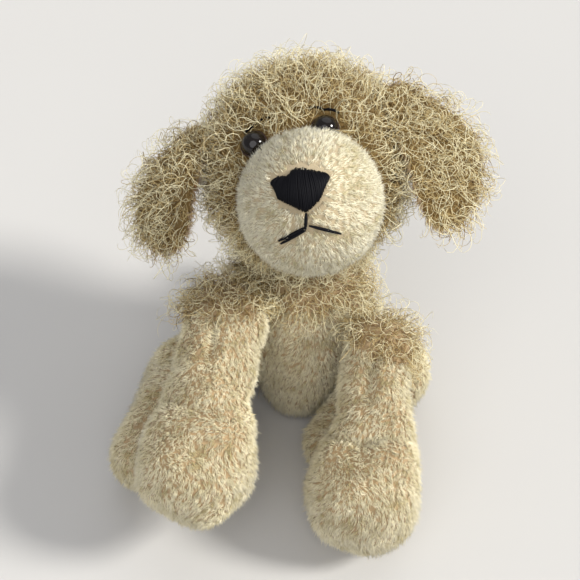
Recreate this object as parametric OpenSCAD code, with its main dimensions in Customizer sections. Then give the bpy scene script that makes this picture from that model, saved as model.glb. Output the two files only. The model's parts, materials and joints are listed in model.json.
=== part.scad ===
// Sitting plush puppy, sewn from soft panels over stuffing and pellets.
// Millimetres. +Z is up, the face looks along -Y, the dog's own left is +X,
// and z = 0 is the surface it sits on.

/* [Fabric] */
// Thickness of the long curly fabric and of the short plush
cloth = 1.1; // [0.8:0.1:1.6]
// Seam gap between two panels of one limb, in degrees around it
seam = 0.5; // [0.3:0.1:1.5]

/* [Torso] */
// Widest half width of the body
body_half_width = 25.5; // [24:0.5:28]
// Height of the top of the chest
chest_height = 65; // [60:0.5:70]
// Angle that the belly panel covers, seen from above
belly_angle = 104; // [80:2:130]
// Height at which the short belly plush meets the curly chest
belly_top = 54; // [46:1:58]

/* [Neck] */
// Radius of the ball-like neck between body and head
neck_r = 18; // [15:0.5:20]
// Clearance of the body and the head around the neck
neck_gap = 0.5; // [0.4:0.1:1]

/* [Head] */
// Half width of the head without its ears
head_half_width = 34; // [30:0.5:36]
// Height of the head's centre
head_height = 102; // [100:0.5:106]
// How far the face looks up from level
head_pitch = 43; // [30:1:50]
// How far the face is turned towards the dog's right
head_yaw = 7; // [0:1:12]
// How far the head is tilted to one side
head_roll = 12; // [0:1:15]
// Radius of the round muzzle
muzzle_r = 23.4; // [22:0.2:26]
// Radius of each eye's dome
eye_r = 4.3; // [3.6:0.1:5]
// Distance from the middle of the face to each eye
eye_offset = 12; // [11:0.5:14]
// Height of the stitched nose and mouth above the muzzle
stitch_height = 0.9; // [0.5:0.1:1.4]

/* [Ears] */
// Length of each ear, from its root to its tip
ear_length = 54; // [46:1:58]
// How much of that length the right ear shows, as it is bent up at its tip
right_ear_shortened = 0.87; // [0.8:0.01:1]
// Half width of each ear at its widest
ear_half_width = 16; // [12:0.5:17]

/* [Legs] */
// Distance from shoulder to paw centre of a front leg
front_leg_length = 53.5; // [48:0.5:58]
// Radius of a front leg at its shoulder
shoulder_r = 14.4; // [13:0.2:15]
// How much thinner the left leg is at its shoulder
left_slimmer = 2.4; // [0:0.2:3]
// Radius of a front paw
front_paw_r = 20; // [18:0.5:21]
// Radius of a hind leg at its hip
hip_r = 14.5; // [12:0.5:15]
// Radius of the right hind leg at its hip, which nothing presses flat
right_hip_r = 18; // [15:0.5:19]
// Radius of a hind paw
hind_paw_r = 13.5; // [11:0.5:14]

/* [Hidden] */

curly = [0.80, 0.68, 0.46];
plush = [0.86, 0.79, 0.64];
lining = [0.80, 0.67, 0.50];
fibre = [0.93, 0.92, 0.90];
pellet = [0.80, 0.82, 0.84];
black = [0.05, 0.05, 0.06];

// Everything is moved by this much, which puts the origin under the middle of the whole toy
home = [3.35, -7.3, 0];

neck_at = [1.5, 40, 73];
head_at = [1.7, 41, head_height];
shoulder_left = [28.5, 3, 48];
shoulder_right = [-26.7, 7.8, 56];
hip_left = [36, 16, 15];
hip_right = [-40, 9, 19];
tail_root = [0, 55.4, 15];
layer = 0.25;

// ---- small vector helpers
function unit(v) = v / norm(v);
function mix(a, b, t) = a + (b - a) * t;
function soft(t) = t * t * (3 - 2 * t);
function clamp01(t) = min(1, max(0, t));
function turned(v, k, a) = v * cos(a) + cross(k, v) * sin(a) + k * (k * v) * (1 - cos(a));

// A frame is [origin, width axis, height axis, length axis]
function aimed(from, to, side) =
  let (z = unit(to - from), y = unit(cross(z, side)), x = cross(y, z)) [from, x, y, z];
function spot(f, p) = f[0] + f[1] * p[0] + f[2] * p[1] + f[3] * p[2];
function settled(p, h) = [p[0], p[1], max(p[2], h)];

// A station is [side offset, height offset, distance along, half width, half height].
// One ring of points between two angles, set back by the inset, never lower than the inset above the floor
function ring(f, s, a0, a1, m, full, inset) = [
  for (k = [0 : m - 1])
    let (a = a0 + (a1 - a0) * k / (full ? m : m - 1),
      w = max(s[3] - inset, 0.25), h = max(s[4] - inset, 0.25))
    settled(spot(f, [s[0] + w * cos(a), s[1] + h * sin(a), s[2]]), inset)
];
// The same stations drawn in towards their middle along the length
function drawn_in(st, inset) =
  let (lo = st[0][2], hi = st[len(st) - 1][2], mid = (lo + hi) / 2, k = 1 - 2 * inset / (hi - lo))
  [for (s = st) [s[0], s[1], mid + (s[2] - mid) * k, s[3], s[4]]];
function flat(rows) = [for (r = rows, p = r) p];
function strips(n, m) = [
  for (i = [0 : n - 2], k = [0 : m - 1], half = [0, 1])
    let (k1 = (k + 1) % m)
    half == 0 ? [i * m + k, (i + 1) * m + k1, i * m + k1] : [i * m + k, (i + 1) * m + k, (i + 1) * m + k1]
];
function back_to_front(faces) = [for (q = faces) [q[0], q[2], q[1]]];
function moved(faces, by) = [for (q = faces) [q[0] + by, q[1] + by, q[2] + by]];

// A solid through all stations, closed by a fan at each end. The stations come already drawn in
module body_loft(f, st, inset, m) {
  n = len(st);
  points = concat(flat([for (s = st) ring(f, s, 0, 360, m, true, inset)]),
    [settled(spot(f, [st[0][0], st[0][1], st[0][2]]), inset),
     settled(spot(f, [st[n - 1][0], st[n - 1][1], st[n - 1][2]]), inset)]);
  ends = [for (k = [0 : m - 1]) let (k1 = (k + 1) % m, b = (n - 1) * m)
    each [[n * m, k, k1], [n * m + 1, b + k1, b + k]]];
  translate(home) polyhedron(points, concat(strips(n, m), ends));
}

// A strip of cloth between the outer and the inner stations, and between two angles
module panel(f, stations, inner, a0, a1, m) {
  n = len(stations);
  points = flat([for (i = [0 : n - 1]) concat(
    ring(f, stations[i], a0, a1, m, false, 0),
    ring(f, inner[i], a1, a0, m, false, cloth))]);
  w = 2 * m;
  first = [for (k = [0 : m - 2]) each [[k, k + 1, w - 2 - k], [k, w - 2 - k, w - 1 - k]]];
  last = moved(back_to_front(first), (n - 1) * w);
  translate(home) polyhedron(points, concat(strips(n, w), first, last));
}

// A cloth cup through all stations, open at the first and closed at the last
module cup(f, stations, m) {
  n = len(stations);
  hi = stations[n - 1][2];
  lo = stations[0][2];
  inner = [for (s = stations) [s[0], s[1], lo + (s[2] - lo) * (hi - lo - cloth) / (hi - lo), s[3], s[4]]];
  points = concat(flat([for (s = stations) ring(f, s, 0, 360, m, true, 0)]),
    flat([for (s = inner) ring(f, s, 0, 360, m, true, cloth)]),
    [settled(spot(f, [stations[n - 1][0], stations[n - 1][1], hi]), 0),
     settled(spot(f, [inner[n - 1][0], inner[n - 1][1], inner[n - 1][2]]), cloth)]);
  rim = [for (k = [0 : m - 1]) let (k1 = (k + 1) % m, b = n * m)
    each [[k, k1, b + k1], [k, b + k1, b + k]]];
  tips = [for (k = [0 : m - 1]) let (k1 = (k + 1) % m, b = (n - 1) * m, c = (2 * n - 1) * m)
    each [[2 * n * m, b + k1, b + k], [2 * n * m + 1, c + k, c + k1]]];
  translate(home) polyhedron(points,
    concat(strips(n, m), moved(back_to_front(strips(n, m)), n * m), rim, tips));
}

// ---- torso
world = [[0, 0, 0], [1, 0, 0], [0, 1, 0], [0, 0, 1]];
w0 = body_half_width;
torso = [
  [0, 24, -1.05, 1.6, 1.6],
  [0, 24, -1.0, 9, 13],
  [0, 24, 1.5, 13, 18.5],
  [0, 24, 5, 15, 21.5],
  [0, 24, 10, 16, 23],
  [0, 24.3, 16, 17, 23.6],
  [0, 25, 22, 20, 24],
  [0, 26.3, 29, 24.5, 24.6],
  [0, 28.3, 36, w0, 24.8],
  [0, 30.6, 43, w0 - 0.8, 24.4],
  [0, 33, 50, w0 - 2.8, 23.6],
  [0, 35.2, belly_top, w0 - 4, 22.8],
  [0, 36.6, chest_height - 5.5, w0 - 5, 21.6],
  [0, 37.6, chest_height - 2, w0 - 6.8, 19.2],
  [0, 38, chest_height, w0 - 10, 15]];
// The belly plush ends a few tenths of a millimetre below the curly chest
seam_at = search(belly_top, [for (s = torso) s[2]])[0];
function hollow(st) = drawn_in(st, cloth);
function fill(st) = drawn_in(st, cloth + layer);
function some(st, a, b) = [for (i = [a : b]) st[i]];
function lower(st) = concat(some(st, 0, seam_at - 1), [st[seam_at] - [0, 0.03, 0.2, 0.02, 0.02]]);
function upper(st) = concat([st[seam_at] + [0, 0.03, 0.1, -0.02, -0.02]],
  some(st, seam_at + 1, len(st) - 1));
belly_low = 270 - belly_angle / 2;
belly_high = 270 + belly_angle / 2;

module neck_space(r) {
  translate(home + neck_at) sphere(r = r);
}
module back_panel() {
  color(curly) difference() {
    panel(world, torso, hollow(torso), belly_high - 360 + seam, belly_low - seam, 17);
    neck_space(neck_r + neck_gap);
  }
}
module belly_panel() {
  color(plush) panel(world, lower(torso), lower(hollow(torso)), belly_low, belly_high, 9);
}
module chest_panel() {
  color(curly) difference() {
    panel(world, upper(torso), upper(hollow(torso)), belly_low, belly_high, 9);
    neck_space(neck_r + neck_gap);
  }
}
module body_stuffing() {
  color(fibre) difference() {
    body_loft(world, some(fill(torso), 7, len(torso) - 1), cloth + layer, 20);
    neck_space(neck_r + neck_gap);
  }
}
module seat_pellets() {
  color(pellet) body_loft(world, some(fill(torso), 1, 6), cloth + layer, 20);
}

// ---- neck
module neck_ruff() {
  color(curly) translate(home + neck_at) difference() {
    sphere(r = neck_r);
    sphere(r = neck_r - cloth);
    translate([0, 0, neck_r * 0.7 + 20]) cube([60, 60, 40], center = true);
    translate([0, 0, -neck_r * 0.7 - 20]) cube([60, 60, 40], center = true);
  }
}
module neck_stuffing() {
  color(fibre) translate(home + neck_at) sphere(r = neck_r - cloth - layer);
}

// ---- head
gaze0 = [0, -cos(head_pitch), sin(head_pitch)];
crest0 = [0, sin(head_pitch), cos(head_pitch)];
gaze = turned(gaze0, crest0, -head_yaw);
side0 = turned([1, 0, 0], crest0, -head_yaw);
crest = turned(crest0, gaze, head_roll);
side = turned(side0, gaze, head_roll);
head = [head_at, side, crest, gaze];
h0 = head_half_width;
muzzle_drop = -14.6;
muzzle_aside = 1.5;
muzzle_mid = 24.8;
eyes_aside = -1.2;
eye_up = 8.0;
eye_out = 22.2;
rim_at = 20.6;
rim_r = sqrt(muzzle_r * muzzle_r - (rim_at - muzzle_mid) * (rim_at - muzzle_mid));
skull = [
  [0, 0, -30, 1.6, 1.6],
  [0, 0, -28.6, 10.2, 9.8],
  [0, 0, -25, 18.8, 18.2],
  [0, 0, -19, 26.3, 25.5],
  [0, 0, -11, 31.6, 30.6],
  [0, 0, -2, h0, 32.9],
  [0, -0.6, 6, h0 - 0.6, 32.4],
  [0, -3, 12, 31, 29.8],
  [0, -7.2, 16.6, 27.8, 27.2],
  [muzzle_aside, muzzle_drop, rim_at, rim_r, rim_r]];
muzzle = concat(
  [[muzzle_aside, muzzle_drop, rim_at + 0.25, rim_r, rim_r]],
  [for (a = [2 : 11.5 : 82]) [muzzle_aside, muzzle_drop, muzzle_mid + muzzle_r * sin(a),
    muzzle_r * cos(a), muzzle_r * cos(a)]]);

module in_head(p) {
  translate(home + spot(head, p)) multmatrix([
    [side[0], crest[0], gaze[0], 0],
    [side[1], crest[1], gaze[1], 0],
    [side[2], crest[2], gaze[2], 0],
    [0, 0, 0, 1]]) children();
}
// The eye's own frame: s is 1 for the dog's left and -1 for its right
module at_eye(s) {
  in_head([s * eye_offset + eyes_aside, eye_up, eye_out]) rotate([-24, s * 10, 0]) children();
}
module head_panel(s) {
  color(curly) difference() {
    panel(head, skull, hollow(skull), (s > 0 ? -90 : 90) + seam / 2, (s > 0 ? 90 : 270) - seam / 2, 13);
    neck_space(neck_r + neck_gap);
    at_eye(s) translate([0, 0, -12]) cylinder(r = 1.6, h = 16, $fn = 24);
  }
}
module head_panel_left() {
  head_panel(1);
}
module head_panel_right() {
  head_panel(-1);
}
module muzzle_panel() {
  color(plush) cup(head, muzzle, 28);
}
head_fill = drawn_in(concat(some(skull, 0, 6),
  [[0, -2.4, 10.2, 30.4, 29.4], [0, -6.2, 13.6, 26.6, 26.2],
    [muzzle_aside, muzzle_drop, 17.4, rim_r - 1.6, rim_r - 1.6]],
  some(muzzle, 1, 7)), cloth + layer + 0.45);
module head_stuffing() {
  color(fibre) difference() {
    body_loft(head, head_fill, cloth + layer + 0.45, 24);
    neck_space(neck_r + neck_gap);
    for (s = [-1, 1]) at_eye(s) translate([0, 0, -13]) cylinder(r = 6.2, h = 20, $fn = 24);
  }
}
// A thin raised layer over the muzzle, cut to the drawn outline
module over_muzzle(low, high) {
  in_head([muzzle_aside, muzzle_drop, muzzle_mid]) intersection() {
    difference() {
      sphere(r = muzzle_r + high);
      sphere(r = muzzle_r + low);
    }
    linear_extrude(height = 40) children();
  }
}
module nose_outline() {
  polygon([[-7.0, 9.8], [-5.0, 9.5], [-3.0, 9.3], [-0.3, 11.2], [4.3, 9.5], [8.4, 7.7], [8.2, 3.9],
    [5.5, -0.5], [2.4, -2.6], [0.3, -3.5], [-4.0, -0.3], [-7.6, 2.5], [-8.0, 6.9]]);
}
module thread_line(a, b, w) {
  d = b - a;
  translate((a + b) / 2) rotate(atan2(d[1], d[0])) square([norm(d) + w * 0.4, w], center = true);
}
module nose_embroidery() {
  color(black) over_muzzle(0.15, 0.15 + stitch_height) nose_outline();
}
module mouth_embroidery() {
  color(black) over_muzzle(0.15, 0.15 + stitch_height * 0.8) union() {
    thread_line([0.2, -4.2], [-0.9, -7.8], 1.0);
    thread_line([-0.9, -7.8], [-5.6, -9.1], 1.2);
    thread_line([-5.6, -9.1], [-10.2, -10.3], 1.2);
    thread_line([-0.9, -7.8], [4.4, -9.5], 0.9);
    thread_line([4.4, -9.5], [9.2, -11.7], 0.9);
  }
}
module brow_stitches(s) {
  color(black) for (k = [0, 1]) in_head([s * (9.0 + 4.8 * k), 15.0 - 1.7 * k, 19.8 - 0.6 * k])
    rotate([0, 90, 0]) cylinder(r = 0.5, h = 4.2, center = true, $fn = 16);
}
module brow_stitches_left() {
  brow_stitches(1);
}
module brow_stitches_right() {
  brow_stitches(-1);
}
// The muzzle's plush presses against the inner edge of each eye
module eye(s) {
  color(black) difference() {
    at_eye(s) union() {
      intersection() {
        translate([0, 0, -0.5]) sphere(r = eye_r);
        translate([0, 0, 5.4]) cube([20, 20, 10], center = true);
      }
      translate([0, 0, -9]) cylinder(r = 1.25, h = 10, $fn = 32);
    }
    in_head([muzzle_aside, muzzle_drop, muzzle_mid]) sphere(r = muzzle_r + 0.3);
  }
}
module eye_left() {
  eye(1);
}
module eye_right() {
  eye(-1);
}
module eye_washer(s) {
  color(pellet) at_eye(s) translate([0, 0, -6.4]) difference() {
    cylinder(r = 4.2, h = 1.4);
    translate([0, 0, -1]) cylinder(r = 1.3, h = 4);
  }
}
module eye_washer_left() {
  eye_washer(1);
}
module eye_washer_right() {
  eye_washer(-1);
}

// ---- ears: flaps that leave the side of the head, bow outwards and hang down
function ear_root(s) = [s * 33.6, 19.5, 0];
function ear_tip(s) = s > 0 ? [44, -31, 10] : [-48.5, -15, 14];
function ear_span(s) = ear_length * (s > 0 ? 1 : right_ear_shortened);
function ear_frame(s) =
  let (root = spot(head, ear_root(s)), tip = spot(head, ear_tip(s)),
    z = unit(tip - root), out = unit(side * s * 0.64 + gaze * 0.77),
    y = unit(out - z * (out * z)), x = cross(y, z))
  [root, x, y, z];
function ear_stations(s) = [
  for (t = [0, 0.05, 0.15, 0.3, 0.46, 0.62, 0.76, 0.88, 0.96, 1])
    let (w = ear_half_width * (0.45 + 0.55 * soft(clamp01(t * 2.2)))
      * sqrt(1 - pow(clamp01((t - 0.5) / 0.505), 3.2)))
    [(s > 0 ? 7 : -5) * sin(180 * t), 3.5 * sin(180 * t), t * ear_span(s),
      max(w, 2.2), 2.0 + 0.8 * sin(180 * t)]
];
module ear_outer(s) {
  color(curly) panel(ear_frame(s), ear_stations(s), hollow(ear_stations(s)), 3, 177, 9);
}
module ear_lining(s) {
  color(lining) panel(ear_frame(s), ear_stations(s), hollow(ear_stations(s)), 183, 357, 9);
}
module ear_outer_left() {
  ear_outer(1);
}
module ear_outer_right() {
  ear_outer(-1);
}
module ear_lining_left() {
  ear_lining(1);
}
module ear_lining_right() {
  ear_lining(-1);
}

// ---- legs: a round root, a slight waist above the paw and a full paw
function limb(l, r0, r1, waist, wide, tall) = [
  for (a = [86, 62, 40, 18]) [0, 0, -r0 * sin(a), r0 * cos(a), r0 * cos(a)],
  for (t = [0, 0.2, 0.4, 0.6, 0.8])
    let (r = mix(r0, r1, soft(t)) - waist * sin(180 * t), k = soft(t))
    [0, 0, l * t, r * mix(1, wide, k), r * mix(1, tall, k)],
  for (a = [0, 18, 36, 54, 70, 84])
    [0, 0, l + r1 * sin(a), r1 * cos(a) * wide, r1 * cos(a) * tall]
];
front_paw_left = [22, -43.3, 21.5];
front_paw_right = [-35, -39.5, 38.5];
function front_leg(s) = s > 0 ? aimed(shoulder_left, front_paw_left, [1, 0, 0])
  : aimed(shoulder_right, front_paw_right, [1, 0, 0]);
function front_limb(s) =
  limb(front_leg_length, shoulder_r - (s > 0 ? left_slimmer : 0), front_paw_r, 2.2, 1, 0.97);
module front_leg_top(s) {
  color(plush) panel(front_leg(s), front_limb(s), hollow(front_limb(s)), 180 + seam, 360 - seam, 11);
}
module front_leg_under(s) {
  color(plush) panel(front_leg(s), front_limb(s), hollow(front_limb(s)), 0, 180, 11);
}
module front_leg_stuffing(s) {
  color(fibre) body_loft(front_leg(s), some(fill(front_limb(s)), 0, 7), cloth + layer, 16);
}
module front_paw_pellets(s) {
  color(pellet) body_loft(front_leg(s), some(fill(front_limb(s)), 8, 14), cloth + layer, 16);
}
module front_leg_top_left() {
  front_leg_top(1);
}
module front_leg_top_right() {
  front_leg_top(-1);
}
module front_leg_under_left() {
  front_leg_under(1);
}
module front_leg_under_right() {
  front_leg_under(-1);
}
module front_leg_stuffing_left() {
  front_leg_stuffing(1);
}
module front_leg_stuffing_right() {
  front_leg_stuffing(-1);
}
module front_paw_pellets_left() {
  front_paw_pellets(1);
}
module front_paw_pellets_right() {
  front_paw_pellets(-1);
}

// The left hind leg lies pressed flat under the front leg above it, so it is lower and wider
hind_paw_left = [13, -13, 8.4];
hind_paw_right = [-56, -21, 13.5];
function hind_leg(s) = s > 0 ? aimed(hip_left, hind_paw_left, [1, 0, 0])
  : aimed(hip_right, hind_paw_right, [1, 0, 0]);
function hind_limb(s) = s > 0
  ? limb(norm(hind_paw_left - hip_left), hip_r, hind_paw_r - 2, 0.6, 1.05, 0.70)
  : limb(norm(hind_paw_right - hip_right), right_hip_r, hind_paw_r, 0.8, 1, 0.98);
module hind_leg_top(s) {
  color(plush) panel(hind_leg(s), hind_limb(s), hollow(hind_limb(s)), 180 + seam, 360 - seam, 11);
}
module hind_leg_under(s) {
  color(plush) panel(hind_leg(s), hind_limb(s), hollow(hind_limb(s)), 0, 180, 11);
}
module hind_leg_stuffing(s) {
  color(fibre) body_loft(hind_leg(s), some(fill(hind_limb(s)), 0, 7), cloth + layer, 16);
}
module hind_paw_pellets(s) {
  color(pellet) body_loft(hind_leg(s), some(fill(hind_limb(s)), 8, 14), cloth + layer, 16);
}
module hind_leg_top_left() {
  hind_leg_top(1);
}
module hind_leg_top_right() {
  hind_leg_top(-1);
}
module hind_leg_under_left() {
  hind_leg_under(1);
}
module hind_leg_under_right() {
  hind_leg_under(-1);
}
module hind_leg_stuffing_left() {
  hind_leg_stuffing(1);
}
module hind_leg_stuffing_right() {
  hind_leg_stuffing(-1);
}
module hind_paw_pellets_left() {
  hind_paw_pellets(1);
}
module hind_paw_pellets_right() {
  hind_paw_pellets(-1);
}

// ---- tail
tail = aimed(tail_root, tail_root + [0, 20, 22], [1, 0, 0]);
tail_limb = limb(26, 6.8, 4.6, 0, 1, 1);
module tail_cover() {
  color(curly) cup(tail, some(tail_limb, 1, len(tail_limb) - 1), 14);
}
module tail_stuffing() {
  color(fibre) body_loft(tail, some(fill(tail_limb), 3, len(tail_limb) - 2), cloth + layer, 14);
}

back_panel();
belly_panel();
chest_panel();
body_stuffing();
seat_pellets();
neck_ruff();
neck_stuffing();
head_panel_left();
head_panel_right();
muzzle_panel();
head_stuffing();
nose_embroidery();
mouth_embroidery();
brow_stitches_left();
brow_stitches_right();
eye_left();
eye_right();
eye_washer_left();
eye_washer_right();
ear_outer_left();
ear_outer_right();
ear_lining_left();
ear_lining_right();
front_leg_top_left();
front_leg_top_right();
front_leg_under_left();
front_leg_under_right();
front_leg_stuffing_left();
front_leg_stuffing_right();
front_paw_pellets_left();
front_paw_pellets_right();
hind_leg_top_left();
hind_leg_top_right();
hind_leg_under_left();
hind_leg_under_right();
hind_leg_stuffing_left();
hind_leg_stuffing_right();
hind_paw_pellets_left();
hind_paw_pellets_right();
tail_cover();
tail_stuffing();
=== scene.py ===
import json
import math

import bmesh
import bpy
import numpy as np
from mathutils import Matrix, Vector


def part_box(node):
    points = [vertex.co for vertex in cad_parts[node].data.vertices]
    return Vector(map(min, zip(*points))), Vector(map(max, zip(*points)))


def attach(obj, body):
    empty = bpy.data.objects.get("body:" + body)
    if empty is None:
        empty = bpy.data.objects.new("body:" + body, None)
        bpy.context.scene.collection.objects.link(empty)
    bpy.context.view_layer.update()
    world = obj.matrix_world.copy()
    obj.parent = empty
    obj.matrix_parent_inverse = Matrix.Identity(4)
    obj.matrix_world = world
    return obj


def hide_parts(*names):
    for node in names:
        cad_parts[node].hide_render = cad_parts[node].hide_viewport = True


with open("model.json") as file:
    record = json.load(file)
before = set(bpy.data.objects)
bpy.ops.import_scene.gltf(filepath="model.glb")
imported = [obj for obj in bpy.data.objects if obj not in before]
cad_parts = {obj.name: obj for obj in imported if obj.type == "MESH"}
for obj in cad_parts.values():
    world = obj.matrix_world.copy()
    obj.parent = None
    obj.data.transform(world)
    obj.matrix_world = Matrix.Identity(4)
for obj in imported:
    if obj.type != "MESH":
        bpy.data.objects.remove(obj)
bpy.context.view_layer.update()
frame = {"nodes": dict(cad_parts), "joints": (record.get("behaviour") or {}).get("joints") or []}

bl_info = {
    "name": "Plush Puppy Maker",
    "version": (1, 0, 0),
    "blender": (4, 5, 0),
    "location": "View3D > Sidebar > Puppy",
    "description": "Sews the skins, pile, face and ears of a sitting plush puppy over its frame",
    "category": "Object",
}

# ---------------------------------------------------------------- the frame's own places

JOINTS = {j["name"]: j for j in frame["joints"]}
MM = 0.001


def joint_point(name):
    return Vector(JOINTS[name]["pos_m"])


def box_middle(node):
    low, high = (Vector(c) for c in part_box(node))
    return (low + high) / 2


EAR_ROOT = {s: joint_point(f"ear_{s}_lift") for s in ("left", "right")}
GAZE = Vector(JOINTS["ear_left_lift"]["axis"]).normalized()
SIDE = (EAR_ROOT["left"] - EAR_ROOT["right"]).normalized()
CREST = GAZE.cross(SIDE).normalized()
HEAD = (EAR_ROOT["left"] + EAR_ROOT["right"]) / 2 - CREST * 19.5 * MM
MUZZLE = HEAD + SIDE * 1.5 * MM - CREST * 14.6 * MM + GAZE * 24.8 * MM
MUZZLE_R = 23.4 * MM
NECK = joint_point("neck_nod")
SIGN = {"left": 1, "right": -1}
EYE_R = 4.3
EYE_CLEAR = 5.4 * MM
SKIN_FLOOR = 1.0 * MM       # the cloth rests on its own pile
CREASE_FLOOR = 0.3 * MM
STRAND_FLOOR = 0.05 * MM
FLOOR_LEVEL = -0.3 * MM
CLOTH_GRAIN = 1500.0
CLOTH_STEPS = 20
THIRDS = (0, 2.0944, 4.1888)
CURL_POINTS = 12
CURL_DRIFT = 0.9
# painted shade and highlight: the deep layer next to the cloth is coloured dark and the light layer on top
# pale
# layer, then its spacing, height, loop size and thickness against the settings
CURL_LAYERS = (
    ("deep", 1.45, 0.50, 0.70, 1.3),
    ("gold", 1.35, 0.85, 0.90, 1.05),
    ("light", 1.35, 1.2, 1.1, 1.05),
)
SHOULDER_PULL = {"left": Vector((7, 6, 8)) * MM, "right": Vector((-1, 8, 8)) * MM}
SHOULDER_CURLS = {"left": 18 * MM, "right": 15.5 * MM}


def on_muzzle(x, y, lift=0.0):
    """A point on the muzzle's ball, from its place across and up the face in millimetres."""
    r = MUZZLE_R / MM + lift
    return MUZZLE + (SIDE * x + CREST * y + GAZE * math.sqrt(max(r * r - x * x - y * y, 0.0))) * MM


# ---------------------------------------------------------------- settings


class PuppyPile(bpy.types.PropertyGroup):
    plush_length: bpy.props.FloatProperty(
        name="Plush length", description="Length of the short pile", default=2.5 * MM, subtype="DISTANCE")
    plush_width: bpy.props.FloatProperty(
        name="Plush width", description="Width of one lock of short pile at its root",
        default=0.36 * MM, subtype="DISTANCE")
    tuft_gap: bpy.props.FloatProperty(
        name="Tuft gap", description="Distance between tufts of short pile", default=1.3 * MM,
        subtype="DISTANCE")
    tuft_strands: bpy.props.IntProperty(
        name="Strands in a tuft", description="Strands in each tuft of short pile", default=7, min=1)
    curl_gap: bpy.props.FloatProperty(
        name="Curl gap", description="Distance between the roots of long curls", default=1.5 * MM,
        subtype="DISTANCE")
    curl_width: bpy.props.FloatProperty(
        name="Curl width", description="Thickness of one curl", default=0.25 * MM, subtype="DISTANCE")
    curl_reach: bpy.props.FloatProperty(
        name="Curl reach", description="Height that the long curls stand above the cloth",
        default=6.0 * MM, subtype="DISTANCE")
    curl_radius: bpy.props.FloatProperty(
        name="Curl radius", description="Radius of the curls' loops", default=3.2 * MM, subtype="DISTANCE")


class PuppyColours(bpy.types.PropertyGroup):
    plush: bpy.props.FloatVectorProperty(
        name="Plush", description="Short pile of the legs and belly", size=3, subtype="COLOR",
        default=(0.86, 0.79, 0.57))
    muzzle: bpy.props.FloatVectorProperty(
        name="Muzzle", description="Short pile of the muzzle", size=3, subtype="COLOR",
        default=(0.86, 0.81, 0.62))
    # painted highlight: the outermost curls are a pale copy of the golden curls
    curl_painted_highlight: bpy.props.FloatVectorProperty(
        name="Light curls", description="Outermost strands of the long pile", size=3, subtype="COLOR",
        default=(0.92, 0.84, 0.55))
    curl_gold: bpy.props.FloatVectorProperty(
        name="Golden curls", description="Middle strands of the long pile", size=3, subtype="COLOR",
        default=(0.60, 0.46, 0.21))
    # painted shade: the curls next to the cloth are a dark brown copy of the golden curls
    curl_painted_shade: bpy.props.FloatVectorProperty(
        name="Deep curls", description="Strands next to the cloth", size=3, subtype="COLOR",
        default=(0.27, 0.17, 0.05))
    lining: bpy.props.FloatVectorProperty(
        name="Ear lining", description="Short pile inside the ears", size=3, subtype="COLOR",
        default=(0.62, 0.46, 0.28))
    thread: bpy.props.FloatVectorProperty(
        name="Thread", description="Stitched nose, mouth and brows", size=3, subtype="COLOR",
        default=(0.0025, 0.0025, 0.004))


class PuppyStudio(bpy.types.PropertyGroup):
    elevation: bpy.props.FloatProperty(
        name="Elevation", description="Height of the camera above the horizon",
        default=math.radians(48), subtype="ANGLE")
    distance: bpy.props.FloatProperty(
        name="Distance", description="Camera to the middle of the puppy", default=0.400, subtype="DISTANCE")
    lens: bpy.props.FloatProperty(
        name="Lens", description="Focal length", default=68.3, unit="CAMERA")


# ---------------------------------------------------------------- finishes


class Shade:
    """A shader socket that can be worked with as a number."""

    def __init__(self, finish, socket):
        self.finish = finish
        self.socket = socket

    def math(self, operation, other=None, swapped=False):
        first, second = (other, self) if swapped else (self, other)
        sockets = {0: first} if other is None else {0: first, 1: second}
        return self.finish.node("ShaderNodeMath", {"operation": operation}, sockets)

    def __add__(self, other):
        return self.math("ADD", other)

    def __radd__(self, other):
        return self.math("ADD", other, True)

    def __sub__(self, other):
        return self.math("SUBTRACT", other)

    def __rsub__(self, other):
        return self.math("SUBTRACT", other, True)

    def __mul__(self, other):
        return self.math("MULTIPLY", other)

    def __rmul__(self, other):
        return self.math("MULTIPLY", other, True)


class Finish:
    """One material: a Principled shader with plain socket values, and nodes for what varies over it."""

    def __init__(self, name, **plain):
        self.material = bpy.data.materials.new(name)
        self.material.use_nodes = True
        self.tree = self.material.node_tree
        self.shader = next(n for n in self.tree.nodes if n.type == "BSDF_PRINCIPLED")
        for socket, value in plain.items():
            self.shader.inputs[socket.replace("_", " ")].default_value = value

    def node(self, kind, settings, sockets, output=0):
        made = self.tree.nodes.new(kind)
        for key, value in settings.items():
            setattr(made, key, value)
        for key, value in sockets.items():
            if isinstance(value, Shade):
                self.tree.links.new(value.socket, made.inputs[key])
            else:
                made.inputs[key].default_value = value
        return Shade(self, made.outputs[output])

    def place(self):
        return self.node("ShaderNodeTexCoord", {}, {}, "Object")

    def noise(self, scale, detail=3.0):
        pattern = {"Vector": self.place(), "Scale": scale, "Detail": detail}
        return self.node("ShaderNodeTexNoise", {}, pattern)

    def blend(self, amount, low, high):
        ends = {"Factor": amount, "A": (*low, 1), "B": (*high, 1)}
        return self.node("ShaderNodeMix", {"data_type": "RGBA"}, ends, 2)

    def feed(self, socket, value):
        self.tree.links.new(value.socket, self.shader.inputs[socket])

    def bump(self, height, strength, distance):
        self.feed("Normal", self.node("ShaderNodeBump", {}, {
            "Height": height, "Strength": strength, "Distance": distance}))


def darker(colour, k):
    return tuple(c * k for c in colour)


def cloth_finish(name, colour, deep, patch=260.0):
    """Knitted backing under the pile: two tones in soft patches with a fine grain; the callers give both
    tones dark, as painted shade in the gaps of the pile.
    """
    f = Finish(name, Roughness=0.95, Sheen_Weight=0.25, Sheen_Roughness=0.5)
    patches = f.noise(patch, 4.0)
    fine = f.noise(CLOTH_GRAIN, 2.0)
    f.feed("Base Color", f.blend(patches * 0.6 + fine * 0.4, deep, colour))
    f.bump(fine, 0.6, 0.4 * MM)
    return f.material


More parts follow.
